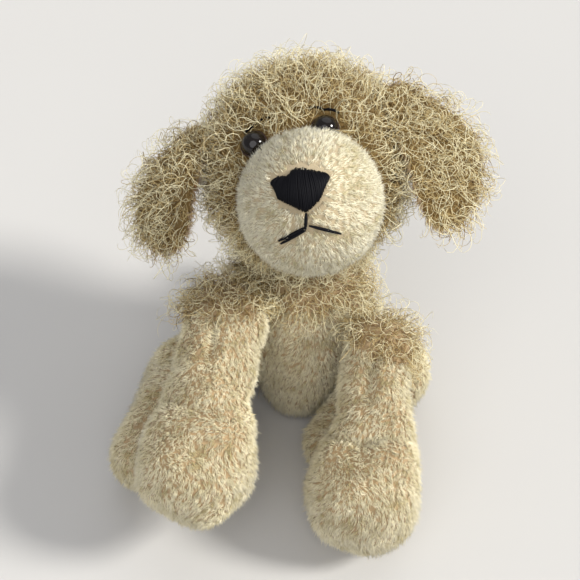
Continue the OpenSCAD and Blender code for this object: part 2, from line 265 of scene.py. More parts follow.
def strand_finish(name, colour, roughness=0.6, sheen=0.2, specular=0.4):
    """Strands of one plain tone."""
    f = Finish(name, Roughness=roughness, Sheen_Weight=sheen, Sheen_Roughness=0.4,
               Specular_IOR_Level=specular)
    f.shader.inputs["Base Color"].default_value = (*colour, 1)
    return f.material


# ---------------------------------------------------------------- mesh helpers


def only(*objects):
    bpy.ops.object.select_all(action="DESELECT")
    for o in objects:
        o.select_set(True)
    bpy.context.view_layer.objects.active = objects[0]


def new_name(obj, name):
    obj.name = name
    obj.data.name = name
    return obj


def apply_modifier(obj, kind, **settings):
    only(obj)
    m = obj.modifiers.new(kind.title(), kind)
    for key, value in settings.items():
        setattr(m, key, value)
    bpy.ops.object.modifier_apply(modifier=m.name)


def joined_copy(name, *nodes):
    """A closed copy of some CAD solids, joined, with its loose triangles merged."""
    copies = []
    for node in nodes:
        source = frame["nodes"][node]
        copy = bpy.data.objects.new(node + "_copy", source.data.copy())
        bpy.context.collection.objects.link(copy)
        copy.matrix_world = source.matrix_world
        copies.append(copy)
    only(*copies)
    if len(copies) > 1:
        bpy.ops.object.join()
    obj = new_name(bpy.context.view_layer.objects.active, name)
    bpy.ops.object.transform_apply(location=True, rotation=True, scale=True)
    bpy.ops.object.mode_set(mode="EDIT")
    bpy.ops.mesh.select_all(action="SELECT")
    bpy.ops.mesh.remove_doubles(threshold=0.01 * MM)
    bpy.ops.object.mode_set(mode="OBJECT")
    obj.data.materials.clear()
    return obj


def coordinates(mesh):
    co = np.empty(len(mesh.vertices) * 3)
    mesh.vertices.foreach_get("co", co)
    return co.reshape(-1, 3)


def vertex_normals(mesh):
    no = np.empty(len(mesh.vertices) * 3)
    mesh.vertices.foreach_get("normal", no)
    return no.reshape(-1, 3)


def moved_points(obj, co):
    obj.data.vertices.foreach_set("co", np.ascontiguousarray(co, dtype=np.float64).ravel())
    obj.data.update()


def swelled(obj, cap, pressure=4.0):
    """Cloth under pressure from inside, with no point moving further than the cap."""
    before = coordinates(obj.data)
    only(obj)
    m = obj.modifiers.new("Cloth", "CLOTH")
    s = m.settings
    s.use_pressure = True
    s.uniform_pressure_force = pressure
    s.effector_weights.gravity = 0.0
    s.quality = 4
    s.tension_stiffness = s.compression_stiffness = 12
    s.bending_stiffness = 0.4
    m.collision_settings.use_collision = False
    m.point_cache.frame_end = CLOTH_STEPS
    for number in range(1, CLOTH_STEPS + 1):
        bpy.context.scene.frame_set(number)
    bpy.ops.object.modifier_apply(modifier=m.name)
    bpy.context.scene.frame_set(1)
    step = coordinates(obj.data) - before
    far = np.linalg.norm(step, axis=1, keepdims=True)
    moved_points(obj, before + step * np.minimum(1, cap / np.maximum(far, 1e-9)))


def skin_over(name, nodes, voxel=2.4 * MM, smooth=6, swell=0.8 * MM, levels=1):
    """One smooth closed skin over CAD solids, swelled by its filling."""
    obj = joined_copy(name, *nodes)
    apply_modifier(obj, "REMESH", mode="VOXEL", voxel_size=voxel)
    apply_modifier(obj, "SMOOTH", factor=0.5, iterations=smooth)
    if swell:
        swelled(obj, swell)
        apply_modifier(obj, "SMOOTH", factor=0.4, iterations=2)
    if levels:
        apply_modifier(obj, "SUBSURF", levels=levels, render_levels=levels)
    co = coordinates(obj.data)
    co[:, 2] = np.maximum(co[:, 2], SKIN_FLOOR)
    moved_points(obj, co)
    only(obj)
    bpy.ops.object.shade_smooth()
    return obj


def unit_rows(v):
    return v / np.maximum(np.linalg.norm(v, axis=1, keepdims=True), 1e-12)


def along(flow, normals):
    """A flow laid into the surface."""
    return unit_rows(flow - normals * np.sum(flow * normals, axis=1, keepdims=True))


def waves(points, size, seed):
    """Smooth noise from -1 to 1 at each point, with bumps of about the given size."""
    rng = np.random.default_rng(seed)
    out = np.zeros(len(points))
    for _ in range(6):
        k = rng.normal(size=3)
        k *= 2 * math.pi / size / np.linalg.norm(k) * rng.uniform(0.5, 1.3)
        out += np.sin(points @ k + rng.uniform(0, 2 * math.pi))
    return out / 2.6


def scatter(obj, gap, seed):
    """Evenly spread random points over a skin, with their normals."""
    mesh = obj.data
    mesh.calc_loop_triangles()
    tri = np.empty(len(mesh.loop_triangles) * 3, np.int32)
    mesh.loop_triangles.foreach_get("vertices", tri)
    tri = tri.reshape(-1, 3)
    co, no = coordinates(mesh), vertex_normals(mesh)
    a, b, c = co[tri[:, 0]], co[tri[:, 1]], co[tri[:, 2]]
    area = np.linalg.norm(np.cross(b - a, c - a), axis=1) / 2
    total = area.sum()
    rng = np.random.default_rng(seed)
    count = max(int(total / gap**2), 1)
    marks = (np.arange(count) + rng.random(count)) / count * total
    pick = np.minimum(np.searchsorted(np.cumsum(area), marks), len(area) - 1)
    u, v = rng.random(count), rng.random(count)
    over = u + v > 1
    u[over], v[over] = 1 - u[over], 1 - v[over]
    w = (1 - u - v)[:, None]
    u, v = u[:, None], v[:, None]
    t = tri[pick]
    points = co[t[:, 0]] * w + co[t[:, 1]] * u + co[t[:, 2]] * v
    normals = unit_rows(no[t[:, 0]] * w + no[t[:, 1]] * u + no[t[:, 2]] * v)
    return points, normals


def mesh_of(name, points, faces, material, slot, body):
    """A smooth-shaded object from equal groups of points and one face pattern of triangles or quads."""
    groups, size = points.shape[0], points.shape[1]
    mesh = bpy.data.meshes.new(name)
    loops, starts, sizes = [], [], []
    for face in faces:
        starts.append(len(loops))
        sizes.append(len(face))
        loops.extend(face)
    loops, starts, sizes = np.array(loops), np.array(starts), np.array(sizes)
    step = np.arange(groups)[:, None]
    mesh.vertices.add(groups * size)
    mesh.vertices.foreach_set("co", points.reshape(-1).astype(np.float64))
    mesh.loops.add(groups * len(loops))
    mesh.loops.foreach_set("vertex_index", (loops[None, :] + step * size).ravel().astype(np.int32))
    mesh.polygons.add(groups * len(starts))
    mesh.polygons.foreach_set("loop_start", (starts[None, :] + step * len(loops)).ravel().astype(np.int32))
    mesh.polygons.foreach_set("use_smooth", np.ones(groups * len(starts), bool))
    mesh.update(calc_edges=True)
    mesh.validate()
    return placed(name, mesh, material, slot, body)


def dressed(obj, material, slot, body=None):
    obj.data.materials.clear()
    obj.data.materials.append(material)
    if body:
        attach(obj, body)
    return obj


def placed(name, mesh, material, slot, body):
    """An object for a finished mesh, riding on its body."""
    obj = bpy.data.objects.new(name, mesh)
    bpy.context.collection.objects.link(obj)
    return dressed(obj, material, slot, body)


def built(name, build, material, slot, body):
    """A smooth-shaded object from faces built one by one."""
    bmesh.ops.recalc_face_normals(build, faces=build.faces)
    mesh = bpy.data.meshes.new(name)
    build.to_mesh(mesh)
    build.free()
    for polygon in mesh.polygons:
        polygon.use_smooth = True
    return placed(name, mesh, material, slot, body)


def above_floor(points):
    """Strands pressed flat where they would go through the floor."""
    points[:, :, 2] = np.maximum(points[:, :, 2], STRAND_FLOOR)
    return points


def tufts(name, roots, normals, lays, seed, material, slot, body, length=1.0, lean=0.9):
    """Short pile: small tufts of tapered strands that lean along the lay."""
    pile = bpy.context.scene.puppy_pile
    rng = np.random.default_rng(seed)
    per = pile.tuft_strands
    n = len(roots)
    long = pile.plush_length * length * rng.uniform(0.75, 1.2, (n, 1))
    across = np.cross(normals, lays)
    turn = rng.normal(0, 0.35, (n, 1))
    lay = lays * np.cos(turn) + across * np.sin(turn)
    centre_tip = roots + (normals * math.cos(lean) + lay * math.sin(lean)) * long
    spread = pile.tuft_gap * 0.62
    a = rng.uniform(0, 2 * math.pi, (n, per, 1))
    r = spread * np.sqrt(rng.random((n, per, 1)))
    offset = lays[:, None] * np.cos(a) * r + across[:, None] * np.sin(a) * r
    base = roots[:, None] + offset - normals[:, None] * 0.25 * MM
    wild = rng.normal(0, 0.20, (n, per, 3)) * long[:, None]
    tip = centre_tip[:, None] + offset * 0.55 + wild
    base, tip = base.reshape(-1, 3), tip.reshape(-1, 3)
    d = unit_rows(tip - base)
    e1 = unit_rows(np.cross(d, rng.normal(size=d.shape)))
    e2 = np.cross(d, e1)
    w = pile.plush_width * 0.5 * rng.uniform(0.7, 1.25, (len(d), 1))
    ring = [base + (e1 * math.cos(t) + e2 * math.sin(t)) * w for t in THIRDS]
    points = np.stack([*ring, tip], axis=1)
    spike = [(0, 1, 3), (1, 2, 3), (2, 0, 3), (2, 1, 0)]
    return mesh_of(name, above_floor(points), spike, material, slot, body)


def curls(name, roots, normals, lays, seed, material, slot, body, reach=1.0, radius=1.0, width=1.0):
    """Long pile: springy tapered strands that loop as they leave the cloth."""
    pile = bpy.context.scene.puppy_pile
    rng = np.random.default_rng(seed)
    n = len(roots)
    t = np.linspace(0, 1, CURL_POINTS)[None, :, None]
    height = pile.curl_reach * reach * rng.uniform(0.55, 1.25, (n, 1, 1))
    loop = pile.curl_radius * radius * rng.uniform(0.6, 1.35, (n, 1, 1))
    turns = rng.uniform(0.45, 1.35, (n, 1, 1)) * rng.choice([-1, 1], (n, 1, 1))
    start = rng.uniform(0, 2 * math.pi, (n, 1, 1))
    heading = rng.uniform(0, 2 * math.pi, (n, 1, 1))
    up, lay = normals[:, None], lays[:, None]
    across = np.cross(up, lay)
    e1 = lay * np.cos(heading) + across * np.sin(heading)
    tilted = np.cross(up, e1) * 0.6 + up * rng.uniform(0.3, 0.9, (n, 1, 1))
    e2 = unit_rows(tilted.reshape(-1, 3)).reshape(n, 1, 3)
    phase = start + turns * 2 * math.pi * t
    grow = loop * (0.5 + 0.5 * t)
    swing = (e1 * (np.cos(phase) * grow - np.cos(start) * loop * 0.5)
             + e2 * (np.sin(phase) * grow - np.sin(start) * loop * 0.5))
    rise = height * np.sin(t * math.pi * rng.uniform(0.45, 0.75, (n, 1, 1)))
    carry = pile.curl_reach * CURL_DRIFT * rng.uniform(0.2, 1.4, (n, 1, 1)) * t
    line = roots[:, None] - up * 0.3 * MM + up * rise + lay * carry + swing * np.minimum(1, t * 3)
    under = np.sum((line - roots[:, None]) * up, axis=2, keepdims=True)
    line += up * np.maximum(0.25 * MM - under, 0) * (t > 0.02)
    d = np.gradient(line, axis=1)
    d /= np.maximum(np.linalg.norm(d, axis=2, keepdims=True), 1e-9)
    side = np.cross(d, rng.normal(size=(n, 1, 3)))
    side /= np.maximum(np.linalg.norm(side, axis=2, keepdims=True), 1e-9)
    other = np.cross(d, side)
    w = pile.curl_width * width * 0.5 * rng.uniform(0.75, 1.2, (n, 1, 1)) * (1 - 0.5 * t)
    rings = [line + (side * math.cos(a) + other * math.sin(a)) * w for a in THIRDS]
    body_points = np.stack(rings, axis=2)[:, 1:-1].reshape(n, -1, 3)
    points = np.concatenate([line[:, :1], body_points, line[:, -1:]], axis=1)
    rows = CURL_POINTS - 2
    last = 1 + rows * 3
    faces = [(0, 1 + (k + 1) % 3, 1 + k) for k in range(3)]
    for i in range(rows - 1):
        for k in range(3):
            a, b = 1 + i * 3 + k, 1 + i * 3 + (k + 1) % 3
            faces.append((a, b, b + 3, a + 3))
    faces += [(last - 3 + k, last - 3 + (k + 1) % 3, last) for k in range(3)]
    return mesh_of(name, above_floor(points), faces, material, slot, body)


def masked(rows, keep):
    return tuple(r[keep] for r in rows)


def plush_coat(name, skin, flow, seed, finishes, slot, body, keep=None, length=1.0, lean=0.9, swirl=0.7):
    """Short pile all over a skin, in three tones laid in random patches as painted light and shade, with
    patches where the lay turns.
    """
    pile = bpy.context.scene.puppy_pile
    points, normals = scatter(skin, pile.tuft_gap, seed)
    if keep is not None:
        points, normals = masked((points, normals), keep(points, normals))
    lays = along(flow(points), normals)
    turn = (swirl * waves(points, 26 * MM, seed + 5))[:, None]
    lays = lays * np.cos(turn) + np.cross(normals, lays) * np.sin(turn)
    # painted light and shade: smooth noise and random scatter pick the pale, mid or shaded copy for each
    # tuft
    tone = (0.7 * waves(points, 9 * MM, seed + 9)
            + np.random.default_rng(seed + 3).normal(0, 0.55, len(points)))
    groups = [tone > 0.2, (tone <= 0.2) & (tone > -1.0), tone <= -1.0]
    for chosen, finish, word in zip(groups, finishes, ("pale", "mid", "shaded")):
        tufts(f"{name}_{word}", points[chosen], normals[chosen], lays[chosen], seed + len(word),
              finish, slot, body, length=length, lean=lean)


def curly_coat(name, skin, flow, seed, finishes, slot, body, keep=None, reach=1.0, gap=1.0):
    """Long curly pile all over a skin: deep short curls in a dark copy of the gold as painted shade, golden
    ones, and light ones on top in a pale copy as painted highlight.
    """
    pile = bpy.context.scene.puppy_pile
    for n, (layer, space, high, loop, wide) in enumerate(CURL_LAYERS):
        points, normals = scatter(skin, pile.curl_gap * gap * space, seed + n)
        if keep is not None:
            points, normals = masked((points, normals), keep(points, normals))
        lays = along(flow(points), normals)
        curls(f"{name}_{layer}", points, normals, lays, seed + 30 + n, finishes[n], slot, body,
              reach=reach * high, radius=loop, width=wide)


def closed_hull(name, node):
    """The closed outside shape of one CAD shell."""
    obj = joined_copy(name, node)
    bpy.ops.object.mode_set(mode="EDIT")
    bpy.ops.mesh.select_all(action="SELECT")
    bpy.ops.mesh.convex_hull()
    bpy.ops.object.mode_set(mode="OBJECT")
    return obj


def thread(name, paths, radius, material, slot, body, sides=6, flat=1.0):
    """Thread laid along paths of (point, outward) pairs, in one piece."""
    build = bmesh.new()
    for path in paths:
        rows = []
        for i, (p, up) in enumerate(path):
            ahead = path[min(i + 1, len(path) - 1)][0] - path[max(i - 1, 0)][0]
            ahead.normalize()
            across = ahead.cross(up).normalized()
            lift = across.cross(ahead).normalized()
            end = math.sin(math.pi * min(max(i / (len(path) - 1), 0.04), 0.96)) ** 0.25
            rows.append([])
            for k in range(sides):
                a = 2 * math.pi * k / sides
                out = across * math.cos(a) + lift * math.sin(a) * flat
                rows[-1].append(build.verts.new(p + out * radius * end))
        for low, high in zip(rows, rows[1:]):
            for k in range(sides):
                build.faces.new((low[k], low[(k + 1) % sides], high[(k + 1) % sides], high[k]))
        build.faces.new(reversed(rows[0]))
        build.faces.new(rows[-1])
    return built(name, build, material, slot, body)


def turned_piece(name, profile, centre, axis, material, slot, body, steps=40):
    """A closed turned piece from a profile of (radius, height) pairs, bottom to top."""
    axis = axis.normalized()
    one = axis.orthogonal().normalized()
    two = axis.cross(one)
    build = bmesh.new()
    rows = []
    for r, h in profile:
        if r == 0:
            rows.append([build.verts.new(centre + axis * h * MM)])
        else:
            rows.append([])
            for k in range(steps):
                a = 2 * math.pi * k / steps
                out = (one * math.cos(a) + two * math.sin(a)) * r
                rows[-1].append(build.verts.new(centre + (axis * h + out) * MM))
    closed = profile[0][0] > 0
    pairs = list(zip(rows, rows[1:])) + ([(rows[-1], rows[0])] if closed else [])
    for low, high in pairs:
        for k in range(steps):
            ring = [low[k % len(low)], low[(k + 1) % len(low)],
                    high[(k + 1) % len(high)], high[k % len(high)]]
            build.faces.new(list(dict.fromkeys(ring)))
    return built(name, build, material, slot, body)


def even_line(points, count):
    """Points evenly placed along a line through a few points in the plane of the face."""
    p = np.array(points, float)
    t = np.concatenate([[0], np.cumsum(np.linalg.norm(np.diff(p, axis=0), axis=1))])
    s = np.linspace(0, t[-1], count)
    return np.stack([np.interp(s, t, p[:, 0]), np.interp(s, t, p[:, 1])], axis=1)


def skin_place(skin):
    """Nearest place on a skin, as (point, normal)."""
    def nearest(point):
        found, place, normal, _ = skin.closest_point_on_mesh(point)
        return place, normal
    return nearest


# ---------------------------------------------------------------- flows of the pile


def towards(direction):
    d = np.array(direction)
    return lambda p: np.broadcast_to(d, p.shape).copy()


def away_from(point, pull=(0, 0, 0)):
    c, g = np.array(point), np.array(pull)
    return lambda p: unit_rows(p - c) + g


def far_from(places, distance):
    """Keeps the points further than a distance from any of some places."""
    c = np.array([tuple(p) for p in places])

    def keep(p, n):
        d = np.linalg.norm(p[:, None] - c[None], axis=2).min(axis=1)
        return d > distance
    return keep


def both(*tests):
    return lambda p, n: np.logical_and.reduce([t(p, n) for t in tests])


# ---------------------------------------------------------------- the shared finishes

FINISHES = {}


def finish_of(name, make):
    if name not in FINISHES:
        FINISHES[name] = make()
    return FINISHES[name]


def plush_skin_finish():
    # painted shade: the backing is a dark brown, darker than the plush, for the gaps between the tufts
    return finish_of("plush_backing", lambda: cloth_finish(
        "plush_backing", (0.50, 0.37, 0.21), (0.30, 0.20, 0.10)))


def toned(name, colour):
    """Three tones of one short pile: a pale copy for its lit tips as painted light, the colour itself, and
    a warm darker copy for its shaded gaps as painted shade.
    """
    # painted light and shade: pale is a lighter copy and shaded a darker, warmer copy of the one pile
    # colour
    tones = (("pale", 1.08, 1.0), ("mid", 0.93, 1.2), ("shaded", 0.72, 1.9))
    return [finish_of(f"{name}_{word}", lambda word=word, k=k, warm=warm: strand_finish(
        f"{name}_{word}", (colour[0] * k, colour[1] ** warm / colour[0] ** (warm - 1) * k,
                           colour[2] ** warm / colour[0] ** (warm - 1) * k)))
            for word, k, warm in tones]


def plush_tones():
    return toned("plush", tuple(bpy.context.scene.puppy_colours.plush))


def muzzle_tones():
    return toned("muzzle", tuple(bpy.context.scene.puppy_colours.muzzle))


def lining_tones():
    return toned("lining", tuple(bpy.context.scene.puppy_colours.lining))


def curl_tones():
    k = bpy.context.scene.puppy_colours
    # deep curls are painted shade and light curls painted highlight, dark and pale copies of the golden
    # curls
    return [finish_of("curl_painted_shade", lambda: strand_finish("curl_painted_shade", tuple(k.curl_painted_shade), 0.55, 0.1)),
            finish_of("curl_gold", lambda: strand_finish("curl_gold", tuple(k.curl_gold), 0.45, 0.1, 0.5)),
            finish_of("curl_painted_highlight", lambda: strand_finish(
                "curl_painted_highlight", tuple(k.curl_painted_highlight), 0.38, 0.1, 0.6))]


def curl_skin_finish():
    k = bpy.context.scene.puppy_colours
    # painted shade: the backing under the curls is the deep curl colour and half of it
    return finish_of("curl_backing", lambda: cloth_finish(
        "curl_backing", tuple(k.curl_painted_shade), darker(tuple(k.curl_painted_shade), 0.5), 180.0))


def fibre_finish():
    def make():
        f = Finish("stuffing_fibre", Roughness=0.9, Sheen_Weight=0.3)
        strands = f.noise(900.0, 6.0)
        f.feed("Base Color", f.blend(strands, (0.62, 0.60, 0.56), (0.86, 0.85, 0.82)))
        f.bump(strands, 0.7, 0.5 * MM)
        return f.material
    return finish_of("stuffing_fibre", make)


def thread_finish():
    def make():
        colour = tuple(bpy.context.scene.puppy_colours.thread)
        f = Finish("satin_thread", Roughness=0.6, Specular_IOR_Level=0.12)
        fine = f.noise(2600.0, 2.0)
        f.feed("Base Color", f.blend(fine, darker(colour, 0.6), darker(colour, 1.8)))
        f.bump(fine, 0.3, 0.1 * MM)
        return f.material
    return finish_of("satin_thread", make)


# ---------------------------------------------------------------- pieces


class PUPPY_OT_head(bpy.types.Operator):
    """Stuffed head with its long curly pile"""
    bl_idname = "puppy.head"
    bl_label = "Head"

    def execute(self, context):
        skin = skin_over("head_skin", ["head_panel_left", "head_panel_right", "head_stuffing"])
        dressed(skin, curl_skin_finish(), "curly_pile", "head")
        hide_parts("head_panel_left", "head_panel_right")
        hidden = far_from([MUZZLE], MUZZLE_R - 0.5 * MM)
        eyes = far_from([eye_place(s) for s in (1, -1)], EYE_CLEAR)
        curly_coat("head_curls", skin, away_from(MUZZLE, (0, 0, -0.25)), 11, curl_tones(),
                   "curly_pile", "head", keep=both(hidden, eyes), reach=0.9)
        return {"FINISHED"}


def eye_place(s):
    return HEAD + (SIDE * (s * 12.0 - 1.2) + CREST * 8.0 + GAZE * 22.2) * MM


def eye_axis(s):
    return (SIDE * s * 0.159 + CREST * 0.407 + GAZE * 0.900).normalized()


MOUTH = (
    (((0.5, -3.2), (-0.2, -5.6), (-0.9, -8.0)), 0.62),
    (((-0.7, -7.4), (-5.2, -8.7), (-10.2, -9.9)), 0.55),
    (((-0.9, -8.3), (-5.6, -9.7), (-9.8, -10.9)), 0.42),
    (((0.4, -7.2), (4.4, -9.2), (9.2, -11.7)), 0.42),
)
NOSE_TOP = ((-6.8, 9.4), (-5.0, 9.3), (-3.0, 9.1), (-1.6, 10.4), (-0.2, 11.0), (2.0, 10.3),
            (4.3, 9.3), (6.4, 8.4), (8.1, 7.4))
NOSE_LOW = ((-6.9, 9.2), (-7.6, 6.9), (-7.2, 2.8), (-3.9, 0.1), (0.3, -3.0), (2.3, -2.2),
            (5.2, -0.2), (7.8, 3.9), (8.1, 7.2))


class PUPPY_OT_muzzle(bpy.types.Operator):
    """Round muzzle with short pile that fans out from the nose"""
    bl_idname = "puppy.muzzle"
    bl_label = "Muzzle"

    def execute(self, context):
        skin = closed_hull("muzzle_skin", "muzzle_panel")
        apply_modifier(skin, "REMESH", mode="VOXEL", voxel_size=1.8 * MM)
        apply_modifier(skin, "SMOOTH", factor=0.5, iterations=4)
        swelled(skin, 0.6 * MM)
        apply_modifier(skin, "SUBSURF", levels=1, render_levels=1)
        only(skin)
        bpy.ops.object.shade_smooth()
        colour = tuple(context.scene.puppy_colours.muzzle)
        # painted shade: the muzzle backing is a dark tan, darker than the muzzle pile, for the gaps between
        # the tufts
        dressed(skin, finish_of("muzzle_backing", lambda: cloth_finish(
            "muzzle_backing", (0.55, 0.46, 0.30), (0.36, 0.28, 0.17))), "short_plush", "head")
        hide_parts("muzzle_panel")
        lines = [on_muzzle(x, y) for path, _ in MOUTH for x, y in even_line(path, 14)]
        nose = [on_muzzle(*(a * (1 - t) + b * t))
                for a, b in zip(even_line(NOSE_TOP, 12), even_line(NOSE_LOW, 12))
                for t in (0, 0.25, 0.5, 0.75, 1)]
        front = lambda p, n: (p - np.array(MUZZLE)) @ np.array(GAZE) > -6 * MM
        keep = both(far_from(lines, 0.8 * MM), far_from(nose, 1.5 * MM), front)
        middle = on_muzzle(0.3, 3.0)
        plush_coat("muzzle_plush", skin, away_from(middle), 41, muzzle_tones(), "short_plush", "head",
                   keep=keep, length=0.85, lean=0.95, swirl=0.45)
        return {"FINISHED"}


class PUPPY_OT_nose(bpy.types.Operator):
    """Satin-stitched nose of fanned threads"""
    bl_idname = "puppy.nose"
    bl_label = "Nose"

    def execute(self, context):
        rng = np.random.default_rng(5)
        count, along_it = 46, 13
        top = even_line(NOSE_TOP, count)
        low = even_line(NOSE_LOW, 4 * count)
        paths = []
        for i in range(count):
            u = i / (count - 1)
            a = top[i] + rng.normal(0, 0.16, 2)
            b = low[int(round((0.5 + (u - 0.5) * 0.82) * (len(low) - 1)))] + rng.normal(0, 0.08, 2)
            path = []
            for k in range(along_it):
                t = k / (along_it - 1)
                x, y = a * (1 - t) + b * t
                x += math.sin(math.pi * t) * (u - 0.5) * 2.4
                crown = math.sin(math.pi * t) ** 0.5 * math.sin(math.pi * (0.08 + 0.84 * u)) ** 0.4
                p = on_muzzle(x, y, 0.5 + 1.3 * crown)
                path.append((p, (p - MUZZLE).normalized()))
            paths.append(path)
        nose = thread("nose_threads", paths, 0.40 * MM, thread_finish(), "stitch_thread", "head", 6)
        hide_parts("nose_embroidery")
        bed, across = [], 24
        edge, chin = even_line(NOSE_TOP, across), even_line(NOSE_LOW, across)
        for t in np.linspace(0.03, 0.97, 22):
            path = []
            for k in range(across):
                u = k / (across - 1)
                x, y = edge[k] * (1 - t) + chin[k] * t
                puff = 1.0 * math.sin(math.pi * t) ** 0.5 * math.sin(math.pi * u) ** 0.5
                p = on_muzzle(x * 0.95, 4 + (y - 4) * 0.94, 0.25 + puff)
                path.append((p, (p - MUZZLE).normalized()))
            bed.append(path)
        thread("nose_underlay", bed, 0.5 * MM, thread_finish(), "stitch_thread", "head", 5)
        return {"FINISHED"}


class PUPPY_OT_mouth(bpy.types.Operator):
    """Mouth and brows sewn with thick black thread"""
    bl_idname = "puppy.mouth"
    bl_label = "Mouth and brows"

    def execute(self, context):
        paths = []
        for line, r in MOUTH:
            path = []
            for k, (x, y) in enumerate(even_line(line, 16)):
                p = on_muzzle(x, y, 0.9 + 0.15 * math.sin(k * 1.9))
                path.append((p, (p - MUZZLE).normalized()))
            paths.append(path)
        mouth = thread("mouth_threads", paths, 0.55 * MM, thread_finish(), "stitch_thread", "head", 8, 0.8)
        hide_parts("mouth_embroidery")
        for word, s in SIGN.items():
            near = skin_place(bpy.data.objects["head_skin"])
            rows = []
            for k in range(2):
                shift = (SIDE * s * (k - 0.5) * 4.4 - CREST * (k - 0.5) * 1.6) * MM
                middle = box_middle(f"brow_stitches_{word}") + shift
                path = []
                for t in np.linspace(-1, 1, 9):
                    place, normal = near(middle + (SIDE * s * t * 2.6 - CREST * t * 0.9) * MM)
                    path.append((place + normal * (2.4 - 1.4 * t * t) * MM, normal))
                rows.append(path)
            brow = thread(f"brow_threads_{word}", rows, 0.5 * MM, thread_finish(), "stitch_thread",
                          "head", 8)
            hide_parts(f"brow_stitches_{word}")
        return {"FINISHED"}


class PUPPY_OT_eyes(bpy.types.Operator):
    """Glossy black eyes, each in a thin dark rim"""
    bl_idname = "puppy.eyes"
    bl_label = "Eyes"

    def execute(self, context):
        gloss = Finish("eye_gloss", Roughness=0.07, Specular_IOR_Level=0.45)
        haze = gloss.noise(400.0)
        gloss.feed("Base Color", gloss.blend(haze, (0.004, 0.003, 0.003), (0.012, 0.008, 0.006)))
        rim = Finish("eye_rim", Roughness=0.35)
        grain = rim.noise(700.0)
        rim.feed("Base Color", rim.blend(grain, (0.012, 0.005, 0.002), (0.05, 0.022, 0.010)))
        for word, s in SIGN.items():
            dome = [(0, -2.6), (1.6, -2.6), (1.7, -1.2), (4.0, -1.0), (EYE_R, -0.6)]
            dome += [(EYE_R * math.cos(a), 4.1 * math.sin(a)) for a in np.linspace(0.05, 1.5, 14)]
            dome += [(0, 4.12)]
            eye = turned_piece(f"eye_dome_{word}", dome, eye_place(s), eye_axis(s), gloss.material,
                               "eye_gloss", "head")
            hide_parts(f"eye_{word}")
            ring = [(4.25 + 0.55 * math.cos(a), 0.1 + 0.45 * math.sin(a))
                    for a in np.linspace(0, 2 * math.pi, 11)[:-1]]
            turned_piece(f"eye_ring_{word}", ring, eye_place(s), eye_axis(s), rim.material,
                         "eye_rim", "head")
        return {"FINISHED"}


class PUPPY_OT_ears(bpy.types.Operator):
    """Hanging ears, curly outside and short pile inside"""
    bl_idname = "puppy.ears"
    bl_label = "Ears"

    def execute(self, context):
        for word, s in SIGN.items():
            skin = skin_over(f"ear_skin_{word}", [f"ear_outer_{word}", f"ear_lining_{word}"],
                             voxel=1.1 * MM, smooth=5, swell=0, levels=0)
            dressed(skin, curl_skin_finish(), "curly_pile", f"ear_{word}")
            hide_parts(f"ear_outer_{word}", f"ear_lining_{word}")
            flow = away_from(EAR_ROOT[word] + CREST * 20 * MM)
            out = np.array(SIDE * s * 0.64 + GAZE * 0.77)
            outer = lambda p, n: n @ out > 0.05
            inner = lambda p, n: n @ out <= 0.15
            curly_coat(f"ear_curls_{word}", skin, flow, 61 + 10 * s, curl_tones(), "curly_pile",
                       f"ear_{word}", keep=outer, reach=0.8)
            plush_coat(f"ear_lining_plush_{word}", skin, flow, 81 + 10 * s, lining_tones(),
                       "ear_lining_plush", f"ear_{word}", keep=inner)
        return {"FINISHED"}


class PUPPY_OT_torso(bpy.types.Operator):
    """Stuffed body with a curly back and a plush belly"""
    bl_idname = "puppy.torso"
    bl_label = "Body"

    def execute(self, context):
        skin = skin_over("torso_skin", ["back_panel", "belly_panel", "chest_panel", "body_stuffing",
                                        "seat_pellets"])
        dressed(skin, plush_skin_finish(), "curly_pile", "torso")
        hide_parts("back_panel", "belly_panel", "chest_panel")
        low, high = (np.array(c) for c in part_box("belly_panel"))
        top = high[2]
        middle = (low + high) / 2

        def belly(p, n):
            wide = np.abs(p[:, 0] - middle[0]) < (high[0] - low[0]) * 0.52
            return wide & (p[:, 1] < middle[1] + 6 * MM) & (p[:, 2] < top + 1 * MM)
        under = lambda p, n: n[:, 2] > -0.8
        plush_coat("belly_plush", skin, towards((0, -0.3, -1)), 101, plush_tones(), "short_plush", "torso",
                   keep=both(belly, under))
        curly_coat("back_curls", skin, towards((0, 0.2, -1)), 121, curl_tones(), "curly_pile", "torso",
                   keep=both(lambda p, n: ~belly(p, n), under), gap=1.1, reach=1.1)
        return {"FINISHED"}


class PUPPY_OT_neck(bpy.types.Operator):
    """Curly ruff round the neck"""
    bl_idname = "puppy.neck"
    bl_label = "Neck ruff"

    def execute(self, context):
        skin = skin_over("neck_skin", ["neck_ruff", "neck_stuffing"])
        dressed(skin, curl_skin_finish(), "curly_pile", "neck")
        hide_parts("neck_ruff")
        curly_coat("ruff_curls", skin, away_from(NECK, (0, -0.2, -0.9)), 141, curl_tones(),
                   "curly_pile", "neck", reach=1.3)
        return {"FINISHED"}


def leg_axis(kind, word):
    joint = f"front_leg_{word}_lift" if kind == "front" else f"hind_leg_{word}_spread"
    start = joint_point(joint)
    end = box_middle(f"{kind}_paw_pellets_{word}")
    return start, end, (end - start).normalized()


